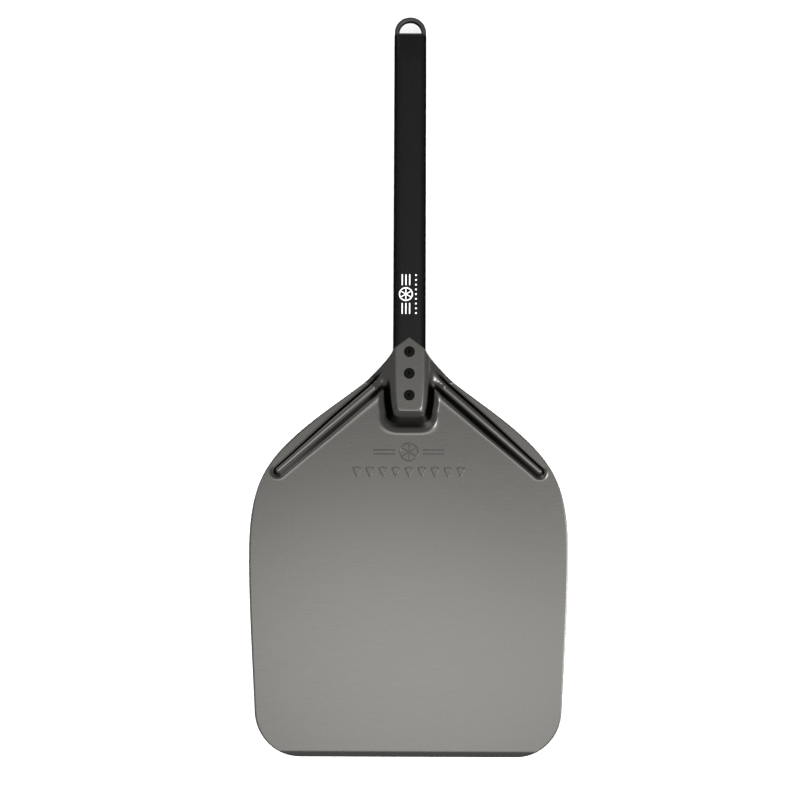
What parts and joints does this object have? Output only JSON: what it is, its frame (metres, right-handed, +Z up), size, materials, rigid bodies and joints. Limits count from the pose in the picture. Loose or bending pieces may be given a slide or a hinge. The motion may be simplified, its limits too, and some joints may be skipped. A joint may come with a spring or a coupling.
{
  "type": "pizza peel",
  "caption": "Flat pizza peel: a pressed, hard-anodised sheet blade with stiffening ribs, riveted to a black flat-oval tube handle with a metal hanging loop.",
  "frame": {"origin": "under the middle of the whole peel, on the plane that the blade rests on", "axes": "+Y from the blade to the handle, +Z up from the blade's working face, X across the blade"},
  "size_m": [0.305, 0.72, 0.0182],
  "materials": {
    "anodised_sheet": "hard anodised, fine satin, warm mid grey",
    "black_tube": "black anodised, satin",
    "black_rivet": "matt black lacquer",
    "rivet_pin": "blackened steel, broken end",
    "black_plastic": "fine moulded texture",
    "grey_metal": "die-cast, satin dark grey"
  },
  "bodies": {
    "root": {"blade": "anodised_sheet", "end_plug": "black_plastic", "handle_tube": "black_tube", "hanging_loop": "grey_metal", "rivet_body_1": "black_rivet", "rivet_body_2": "black_rivet", "rivet_body_3": "black_rivet", "rivet_mandrel_1": "rivet_pin", "rivet_mandrel_2": "rivet_pin", "rivet_mandrel_3": "rivet_pin"}
  },
  "joints": []
}
